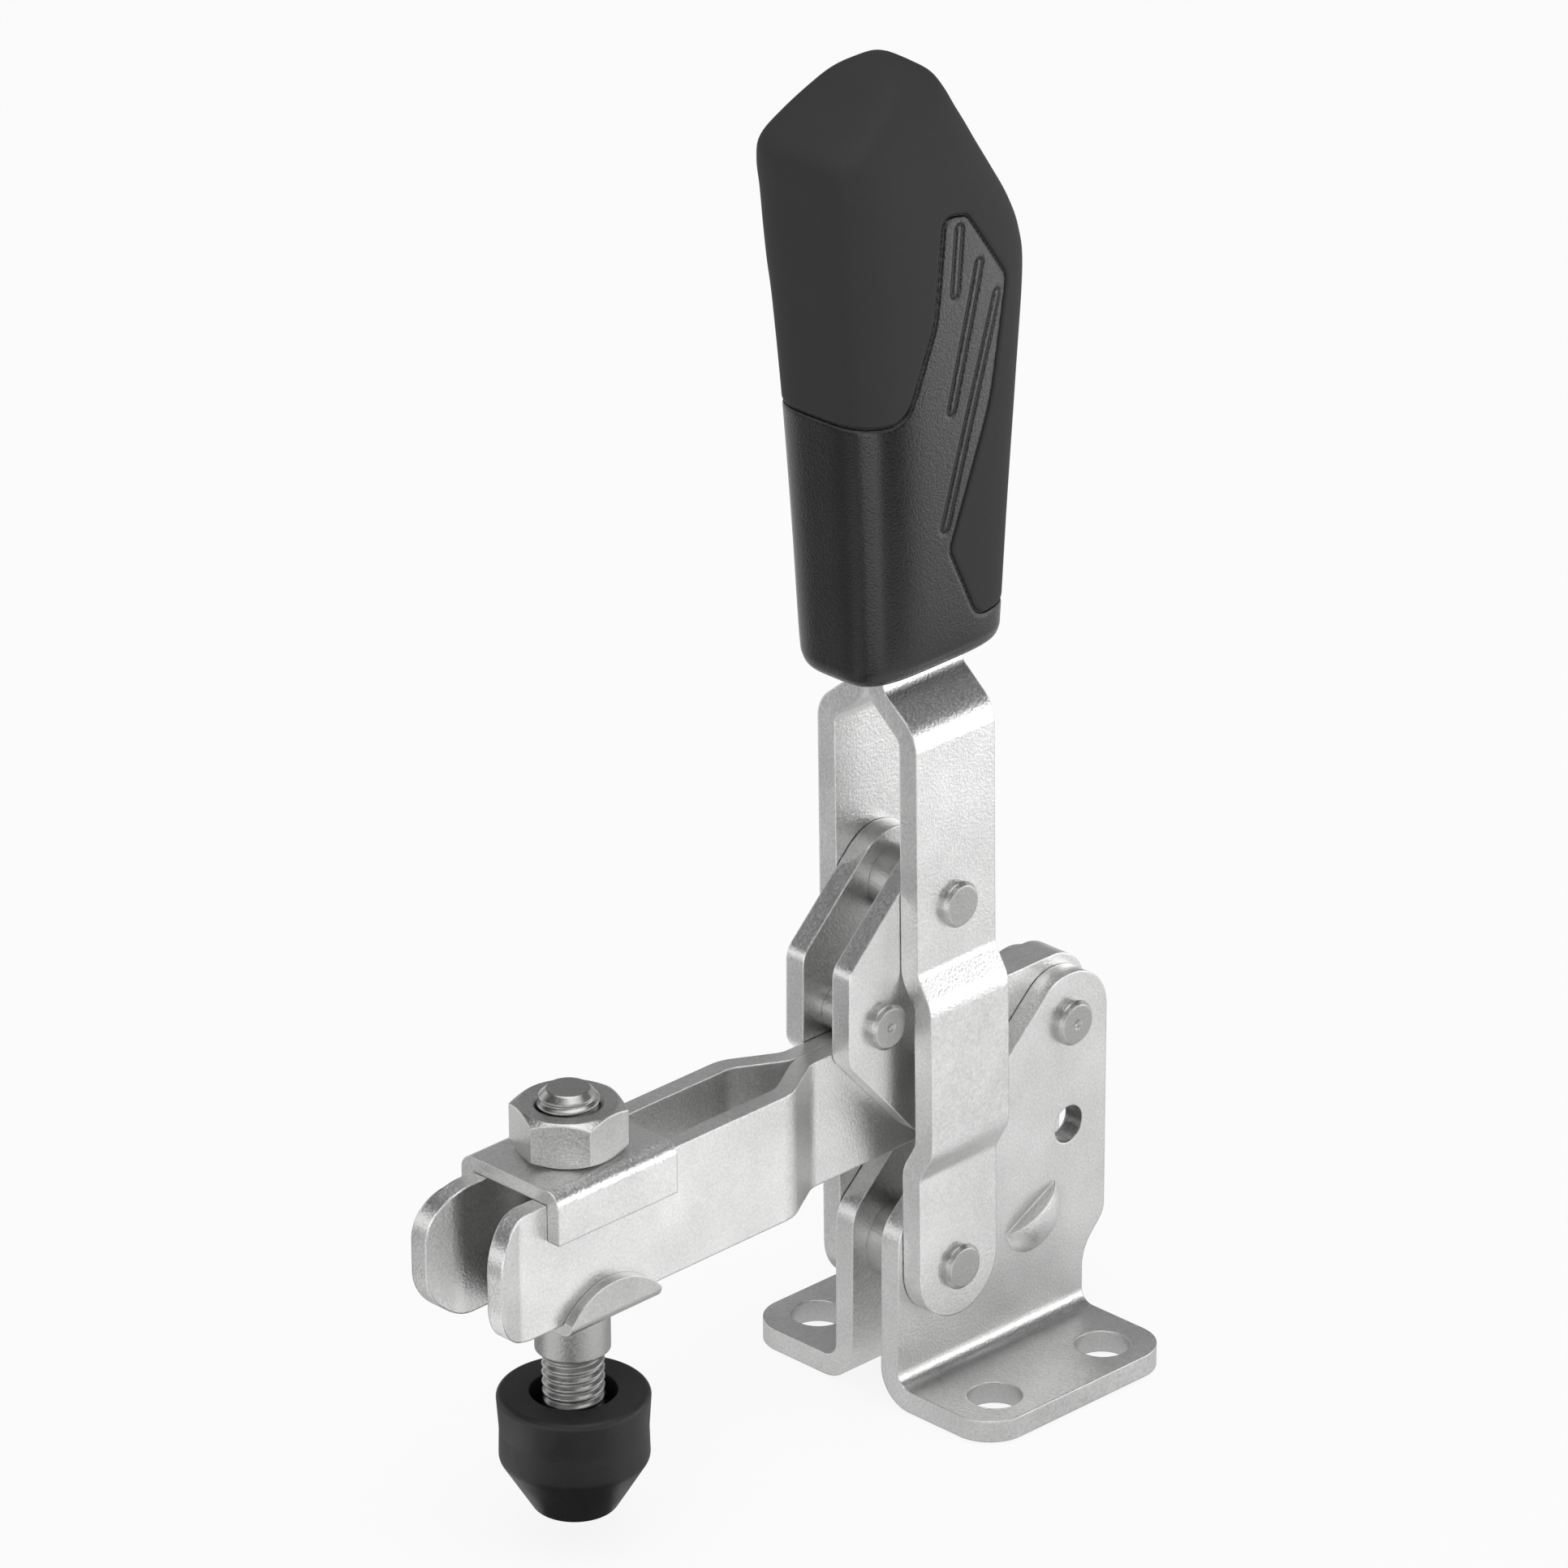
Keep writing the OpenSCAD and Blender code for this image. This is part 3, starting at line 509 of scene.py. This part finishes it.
def grip_finish(plastic):
    """Hard body and soft skin in one moulding.

    The attribute seam is the distance in millimetres from the line between them, less than 0 on
    the hard body, and rib is the distance from the nearest moulded loop.
    """
    finish = Finish("grip_plastics", plastic.hard_colour)
    seam = finish.attribute("seam")
    is_soft = finish.math("GREATER_THAN", seam, 0)
    groove = finish.near(seam, plastic.seam_width / MM)
    line = finish.near(finish.attribute("rib"), LINE_WIDTH)
    cloud = finish.noise(GRIP_CLOUD, detail=2)
    darkest, brightest = np.outer(HARD_TINT, plastic.hard_colour)
    hard = finish.mix_colour(finish.spread(cloud, 0, 1), darkest, brightest)
    plain = finish.mix_colour(is_soft, hard, plastic.soft_colour)
    # Painted shade: the loops' sunk line and the groove round the soft skin are darkened towards a near black
    line_shaded = finish.mix_colour(finish.math("MULTIPLY", line, LINE_PAINTED_SHADE), plain, PAINTED_SHADE_COLOUR)
    groove_shaded = finish.mix_colour(finish.math("MULTIPLY", groove, GROOVE_PAINTED_SHADE), line_shaded, PAINTED_SHADE_COLOUR)
    finish.link(groove_shaded, "Base Color")
    hard_grain = finish.noise(HARD_GRAIN, detail=2)
    hard_roughness = finish.spread(hard_grain, *HARD_ROUGHNESS)
    soft_roughness = finish.spread(finish.noise(SOFT_GRAIN, detail=1), *SOFT_ROUGHNESS)
    finish.link(finish.mix_value(is_soft, hard_roughness, soft_roughness), "Roughness")
    normal = finish.relief(finish.math("SUBTRACT", 1, groove), GROOVE_RELIEF)
    normal = finish.relief(finish.math("SUBTRACT", 1, line), LINE_RELIEF, normal)
    grain = finish.math("MULTIPLY", hard_grain, finish.math("SUBTRACT", 1, is_soft))
    finish.link(finish.relief(grain, GRAIN_RELIEF, normal), "Normal")
    return finish.material


def wear(node, material):
    """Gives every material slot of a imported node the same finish."""
    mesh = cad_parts[node].data
    if not mesh.materials:
        mesh.materials.append(material)
    for i in range(len(mesh.materials)):
        mesh.materials[i] = material


# One operator for each group of pieces


class CLAMP_OT_metal(bpy.types.Operator):
    """Finishes the sheet metal plates, the rivets, the bushes and the nut"""

    bl_idname = "clamp.metal"
    bl_label = "Finish the metal"

    def execute(self, context):
        metal = context.scene.clamp_metal
        sheet = metal_finish("plated_sheet", metal.sheet_colour, metal.sheet_roughness, metal)
        turned_steel = metal_finish(
            "turned_steel", metal.turned_colour, TURNED_ROUGHNESS, metal, contrast=0.12, edge_highlight=0.5
        )
        bush = metal_finish(
            "bush_steel", metal.nut_colour, BUSH_ROUGHNESS, metal, contrast=0.1, stretch=(1, 0.2, 1)
        )
        nut = metal_finish(
            "nut_steel", metal.nut_colour, NUT_ROUGHNESS, metal, contrast=0.2, relief=0.045 * MM, edge_highlight=0.8
        )
        groups = ((SHEET_NODES, sheet), (TURNED_NODES, turned_steel), (BUSH_NODES, bush), (NUT_NODES, nut))
        for names, material in groups:
            for node in names:
                wear(node, material)
        return {"FINISHED"}


class CLAMP_OT_cap(bpy.types.Operator):
    """Finishes the rubber cap of the clamping screw"""

    bl_idname = "clamp.cap"
    bl_label = "Finish the rubber cap"

    def execute(self, context):
        wear("rubber_cap", rubber_finish(context.scene.clamp_plastic))
        return {"FINISHED"}


# The middle of the grip along X and its bottom before the handle's turn, and its usual half depth and half
# width, in millimetres
GRIP_MIDDLE, GRIP_BOTTOM, GRIP_DEEP, GRIP_WIDE = -9.3, 102.7, 15, 9.5
# Grip sections: height above its bottom, front and rear edge from its middle, half width, in millimetres
GRIP_SECTIONS = (
    (0.0, -11.4, 10.2, 5.4), (0.6, -12.8, 11.4, 6.9), (1.9, -13.5, 11.9, 7.8), (4.8, -13.7, 11.9, 8.3),
    (19.2, -14.4, 12.8, 8.8), (36.5, -15.5, 14.1, 9.4), (50.0, -16.6, 14.9, 10.0), (55.7, -17.3, 14.1, 10.2),
    (60.5, -17.7, 12.0, 10.3), (65.3, -18.1, 9.0, 10.2), (69.2, -18.6, 6.5, 10.0), (72.1, -18.3, 4.9, 9.4),
    (74.5, -14.9, 3.5, 8.6), (76.9, -10.8, 2.3, 7.4), (78.8, -8.0, 1.2, 5.8), (80.1, -5.4, -0.5, 3.6),
    (80.7, -3.6, -1.4, 1.4),
)
# The hard body seen from the side, from the grip's middle and bottom: x, z and corner radius
HARD_BODY = (
    (-30, -1, 0), (30, -1, 0), (30, 6, 0), (4.4, 6, 3), (-0.7, 16.6, 2), (6.2, 35.2, 30), (8.5, 51.2, 2.5),
    (1.0, 61.6, 2), (-3.2, 62.4, 1.8), (-4.4, 48.3, 12), (-8.8, 36.5, 4), (-30, 37.2, 0),
)
# The moulded loops: both ends of each one's middle line
LOOPS = (((-0.5, 60.1), (-1.1, 51.6)), ((3.1, 54.5), (-1.1, 35.8)), ((6.5, 49.4), (-1.8, 20.1)))
# Depth and half width of the groove round the soft skin, and of the loops' line, in millimetres
GROOVE_DEPTH, GROOVE_REACH, LOOP_DEPTH, LOOP_REACH = 0.3, 0.45, 0.14, 0.35


class CLAMP_OT_grip(bpy.types.Operator):
    """Builds the grip as one smooth skin, with the groove round the soft cover and the moulded loops"""

    bl_idname = "clamp.grip"
    bl_label = "Build the grip"

    def execute(self, context):
        plastic = context.scene.clamp_plastic
        height, front, rear, half = even(through(np.array(GRIP_SECTIONS), 16), plastic.along).T[:, :, None]
        unit = squircle(plastic.around, GRIP_DEEP, GRIP_WIDE)
        # A section is a squircle, stretched to the width and depth at its height
        x = (rear + front) / 2 + (rear - front) / 2 * unit[:, 0]
        rings = np.stack([x, half * unit[:, 1], np.broadcast_to(height, x.shape)], axis=-1)
        side = rings[..., [0, 2]].reshape(-1, 2)
        seam = loop_distance(side, rounded(HARD_BODY)).reshape(x.shape)
        middle = np.min([segment_distance(side, np.array(a), np.array(b)) for a, b in LOOPS], axis=0)
        rib = middle.reshape(x.shape) - plastic.rib_radius / MM
        depth = np.maximum(GROOVE_DEPTH * ease(seam, GROOVE_REACH), LOOP_DEPTH * ease(rib, LOOP_REACH))
        rings = sunk(rings, depth) + (GRIP_MIDDLE, 0, GRIP_BOTTOM)
        piece = grid_mesh("grip_shell", turned(rings, HANDLE_PIVOT, HANDLE_LEAN))
        set_attribute(piece, "seam", seam)
        set_attribute(piece, "rib", rib)
        piece.data.materials.append(grip_finish(plastic))
        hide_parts("grip_body", "grip_skin")
        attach(piece, "handle")
        return {"FINISHED"}


# The clamping screw before the arm's turn, in millimetres: its middle line along the arm, the bottom and the
# height of its hexagon head, its flats' distance from the middle and the hexagon's turn in degrees
SCREW_X, HEAD_BOTTOM, HEAD_HEIGHT, FLAT_REACH, HEAD_TURN = -69.6, 10.6, 5.3, 6.5, 7.5
# Its thread's outer radius, its top, and the radii of the flat end's edge and of a ring just inside that
THREAD_RADIUS, SCREW_TOP, POINT_RADIUS, END_RADIUS = 3.97, 63.25, 2.7, 2.55
# The first ring of the thread lies a hair above the head, and the head's bottom closes from a small ring
THREAD_START, MIDDLE_RADIUS = 0.01, 0.5
# The thread's wave: its slope, and the share that is cut off for a flat crest
FLANK_SLOPE, CREST_CUT = 1.25, 0.12
# Edges sharper than this many degrees are not smoothed
SHARP_EDGE = 50


class CLAMP_OT_screw(bpy.types.Operator):
    """Builds the clamping screw with its thread, its turned point and its hexagon head"""

    bl_idname = "clamp.screw"
    bl_label = "Build the clamping screw"

    def execute(self, context):
        thread = context.scene.clamp_thread
        pitch, depth = thread.pitch / MM, thread.depth / MM
        shank = HEAD_BOTTOM + HEAD_HEIGHT
        steps = int((SCREW_TOP - shank) / pitch * thread.steps)
        # The rings from the bottom up: the head's middle, its lower and its upper edge, the thread and the
        # flat end. The kind of each ring says which of the radii below it takes.
        threads = np.linspace(shank + THREAD_START, SCREW_TOP, steps)
        z = np.concatenate([[HEAD_BOTTOM, HEAD_BOTTOM, shank], threads, [SCREW_TOP]])[:, None]
        kind = np.concatenate([[0, 1, 1], np.full(steps, 2), [3]])[:, None]
        angle = 2 * np.pi * np.arange(thread.columns) / thread.columns
        # The thread: r = outer radius - depth w, where w rises and falls once in a pitch and is flat at
        # the crest and the root. The turned point is a cone of 45 degrees, which cuts the last threads.
        phase = (z / pitch - angle / (2 * np.pi)) % 1
        wave = np.clip(np.abs(2 * phase - 1) * FLANK_SLOPE - CREST_CUT, 0, 1)
        threaded = np.minimum(THREAD_RADIUS - depth * wave, POINT_RADIUS + SCREW_TOP - z)
        # The head: a flat's distance over the cosine of the angle from the flat's middle
        from_flat = (angle - np.radians(HEAD_TURN)) % (np.pi / 3) - np.pi / 6
        hexagon = np.broadcast_to(FLAT_REACH / np.cos(from_flat), threaded.shape)
        bottom, top = np.full(threaded.shape, MIDDLE_RADIUS), np.full(threaded.shape, END_RADIUS)
        radius = np.choose(kind, [bottom, hexagon, threaded, top])
        x, y = SCREW_X + radius * np.cos(angle), radius * np.sin(angle)
        rings = np.stack([x, y, np.broadcast_to(z, radius.shape)], axis=-1)
        piece = grid_mesh("threaded_screw", turned(rings, ARM_PIVOT, ARM_FALL))
        metal = context.scene.clamp_metal
        finish = metal_finish(
            "screw_steel", metal.turned_colour, SCREW_ROUGHNESS, metal,
            contrast=0.08, stretch=(1, 1, 0.2), relief=0.006 * MM, edge_highlight=0,
        )
        piece.data.materials.append(finish)
        piece.data.set_sharp_from_angle(angle=np.radians(SHARP_EDGE))
        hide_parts("clamping_screw")
        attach(piece, "arm")
        return {"FINISHED"}


# The studio, in metres: the floor lies just under the base, and the flags lie over it, each a hair above the
# one before it in the table
FLOOR_Z, FLAG_Z, FLAG_STEP, FLOOR_HALF = -0.0004, -0.0002, 0.00001, 3.0
SURROUND_GREY, SURROUND_STRENGTH = 0.8, 0.75
# Sensor width in millimetres, and the farthest that the camera sees in metres
SENSOR_WIDTH, FAR_END = 36, 20


def stage_sheet(name, corners):
    """A flat mesh that belongs to the stage."""
    mesh = bpy.data.meshes.new(name)
    mesh.from_pydata(corners, [], [tuple(range(len(corners)))])
    piece = bpy.data.objects.new(name, mesh)
    bpy.context.scene.collection.objects.link(piece)
    return piece


def background_rays(tree):
    """1 for the rays that show the background as it is: from the camera, in reflections and through glass."""
    path = tree.nodes.new("ShaderNodeLightPath")
    seen = path.outputs["Is Camera Ray"]
    for ray in ("Is Glossy Ray", "Is Transmission Ray"):
        either = tree.nodes.new("ShaderNodeMath")
        either.operation = "MAXIMUM"
        tree.links.new(seen, either.inputs[0])
        tree.links.new(path.outputs[ray], either.inputs[1])
        seen = either.outputs[0]
    return seen


def flat(low, high, z):
    """Corners of a level rectangle."""
    return [(low[0], low[1], z), (high[0], low[1], z), (high[0], high[1], z), (low[0], high[1], z)]


def wedge(start, end, near, far, points=9):
    """Corners of a flag over the floor: a ring sector between two azimuths in degrees and two distances."""
    angle = np.radians(np.linspace(start, end, points))
    way = np.stack([np.cos(angle), np.sin(angle), np.zeros(points)], axis=1)
    return (np.concatenate([way * near, way[::-1] * far]) + (0, 0, FLAG_Z)).tolist()


# Studio flags and reflectors: name, corners and brightness. The near ones shape the metal, whose reflections
# meet the floor close by, and the far ones shape the grip.
FLAGS = (
    ("flag_left", wedge(126, 160, 0.03, 0.24), 0.38),
    ("flag_grip_left", wedge(126, 188, 0.24, 1), 0.2),
    ("flag_camera", wedge(190, 240, 0.11, 0.23), 0.32),
    ("flag_nut", wedge(186, 206, 0.23, 0.34), 0.3),
    ("reflector_camera", wedge(205, 256, 0.23, 1), 2.3),
    ("flag_grip_corner", wedge(260, 304, 0.23, 1), 0.03),
    ("reflector_grip_side", wedge(307, 330, 0.25, 1), 2.8),
    ("flag_right", wedge(300, 395, 0.03, 0.25), 0.7),
    ("flag_channel", wedge(35, 62, 0.07, 0.26), 0.4),
    ("flag_cap", flat((-0.108, -0.038), (-0.064, 0.004), FLAG_Z), 0.08),
    ("flag_base", flat((-0.06, -0.034), (0.032, 0.035), FLAG_Z), 0.55),
    ("flag_back", [(0, 1, 0.02), (1, 0, 0.02), (1, 0, 0.9), (0, 1, 0.9)], 0.3),
    ("flag_top", flat((-1.3, -1.3), (1.3, 1.3), 0.7), 0.07),
    ("reflector_top", flat((-0.35, -0.45), (0.22, 0.3), 0.69), 1.9),
)
# Lamps: name, place, width and height, and the value that holds its power. All of them aim at one point.
LAMP_AIM = (-0.02, 0, 0.08)
LAMPS = (
    ("key_lamp", (0.72, -0.78, 0.23), (1.0, 0.44), "key_power"),
    ("side_lamp", (-1.0, -0.1, 0.35), (0.8, 0.5), "side_power"),
    ("top_lamp", (-0.2, -0.3, 1.3), (1.0, 1.0), "top_power"),
)


def add_floor(stage):
    """The floor. Part of what is seen of it is plain white, and the rest is lit and keeps the shadow."""
    piece = stage_sheet("floor", flat((-FLOOR_HALF, -FLOOR_HALF), (FLOOR_HALF, FLOOR_HALF), FLOOR_Z))
    finish = Finish("floor", stage.floor_colour, roughness=0.9)
    finish.shader.inputs["Specular IOR Level"].default_value = 0.0
    glow = finish.node("ShaderNodeEmission")
    mix = finish.node("ShaderNodeMixShader")
    finish.link(finish.math("MULTIPLY", background_rays(finish.tree), stage.floor_glow), mix.inputs["Fac"])
    finish.link(finish.shader.outputs["BSDF"], mix.inputs[1])
    finish.link(glow.outputs["Emission"], mix.inputs[2])
    finish.link(mix.outputs["Shader"], finish.tree.nodes["Material Output"].inputs["Surface"])
    piece.data.materials.append(finish.material)


def add_flag(name, corners, grey, rank):
    """A grey studio flag. Only reflections see it, so it shapes the metal and leaves no shadow."""
    piece = stage_sheet(name, corners)
    piece.location.z = rank * FLAG_STEP
    for ray in ("camera", "diffuse", "transmission", "volume_scatter", "shadow"):
        setattr(piece, "visible_" + ray, False)
    finish = Finish(name, (0, 0, 0))
    glow = finish.node("ShaderNodeEmission")
    glow.inputs["Color"].default_value = (grey, grey, grey, 1)
    finish.link(glow.outputs["Emission"], finish.tree.nodes["Material Output"].inputs["Surface"])
    piece.data.materials.append(finish.material)


def add_lamp(name, place, size, power):
    """A rectangular area lamp that faces the clamp."""
    light = bpy.data.lights.new(name, "AREA")
    light.shape = "RECTANGLE"
    light.size, light.size_y = size
    light.energy = power
    piece = bpy.data.objects.new(name, light)
    piece.location = place
    piece.rotation_euler = (Vector(LAMP_AIM) - Vector(place)).to_track_quat("-Z", "Y").to_euler()
    bpy.context.scene.collection.objects.link(piece)


def add_world(scene):
    """A grey surround, which the background rays see as white."""
    scene.world = bpy.data.worlds.new("studio")
    scene.world.use_nodes = True
    tree = scene.world.node_tree
    surround = tree.nodes["Background"]
    surround.inputs["Color"].default_value = (SURROUND_GREY, SURROUND_GREY, SURROUND_GREY, 1)
    surround.inputs["Strength"].default_value = SURROUND_STRENGTH
    seen = tree.nodes.new("ShaderNodeBackground")
    seen.inputs["Color"].default_value = (1, 1, 1, 1)
    mix = tree.nodes.new("ShaderNodeMixShader")
    tree.links.new(background_rays(tree), mix.inputs["Fac"])
    tree.links.new(surround.outputs["Background"], mix.inputs[1])
    tree.links.new(seen.outputs["Background"], mix.inputs[2])
    tree.links.new(mix.outputs["Shader"], tree.nodes["World Output"].inputs["Surface"])


def add_camera(scene, stage):
    """The camera, from its azimuth a and elevation e.

    Its axes are right (cos a, sin a, 0), back (sin a cos e, -cos a cos e, sin e) and up = back x right.
    """
    a, e = stage.azimuth, stage.elevation
    right = Vector((np.cos(a), np.sin(a), 0))
    back = Vector((np.sin(a) * np.cos(e), -np.cos(a) * np.cos(e), np.sin(e)))
    up = back.cross(right)
    camera = bpy.data.cameras.new("camera")
    camera.lens = stage.lens
    camera.sensor_width = SENSOR_WIDTH
    camera.clip_end = FAR_END
    piece = bpy.data.objects.new("camera", camera)
    place = right * stage.offset[0] + up * stage.offset[1] + back * stage.distance
    turn = Matrix((right, up, back)).transposed().to_4x4()
    piece.matrix_world = Matrix.Translation(place) @ turn
    scene.collection.objects.link(piece)
    scene.camera = piece


class CLAMP_OT_stage(bpy.types.Operator):
    """Builds the pale floor, the flags, the soft lamps, the world and the camera"""

    bl_idname = "clamp.stage"
    bl_label = "Build the stage"

    def execute(self, context):
        stage = context.scene.clamp_stage
        add_floor(stage)
        for rank, (name, corners, grey) in enumerate(FLAGS):
            add_flag(name, corners, grey, rank)
        for name, place, size, power in LAMPS:
            add_lamp(name, place, size, getattr(stage, power))
        add_world(context.scene)
        add_camera(context.scene, stage)
        context.scene.view_settings.view_transform = "Standard"
        return {"FINISHED"}


class CLAMP_PT_panel(bpy.types.Panel):
    """Buttons and values of the toggle clamp"""

    bl_idname = "CLAMP_PT_panel"
    bl_label = "Toggle Clamp"
    bl_space_type = "VIEW_3D"
    bl_region_type = "UI"
    bl_category = "Clamp"

    def draw(self, context):
        for operator in OPERATORS:
            self.layout.operator(operator.bl_idname)
        for group in GROUPS:
            values = getattr(context.scene, group)
            box = self.layout.box()
            for key in values.bl_rna.properties.keys():
                if key not in ("rna_type", "name"):
                    box.prop(values, key)


OPERATORS = (CLAMP_OT_metal, CLAMP_OT_cap, CLAMP_OT_grip, CLAMP_OT_screw, CLAMP_OT_stage)
GROUPS = {
    "clamp_metal": ClampMetal,
    "clamp_plastic": ClampPlastic,
    "clamp_thread": ClampThread,
    "clamp_stage": ClampStage,
}
CLASSES = (*GROUPS.values(), *OPERATORS, CLAMP_PT_panel)


def register():
    for each in CLASSES:
        bpy.utils.register_class(each)
    for name, group in GROUPS.items():
        setattr(bpy.types.Scene, name, PointerProperty(type=group))


def unregister():
    for name in GROUPS:
        delattr(bpy.types.Scene, name)
    for each in reversed(CLASSES):
        bpy.utils.unregister_class(each)


def main():
    """Registers the add-on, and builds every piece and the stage."""
    register()
    bpy.ops.clamp.metal()
    bpy.ops.clamp.cap()
    bpy.ops.clamp.grip()
    bpy.ops.clamp.screw()
    bpy.ops.clamp.stage()


if __name__ == "__main__":
    main()
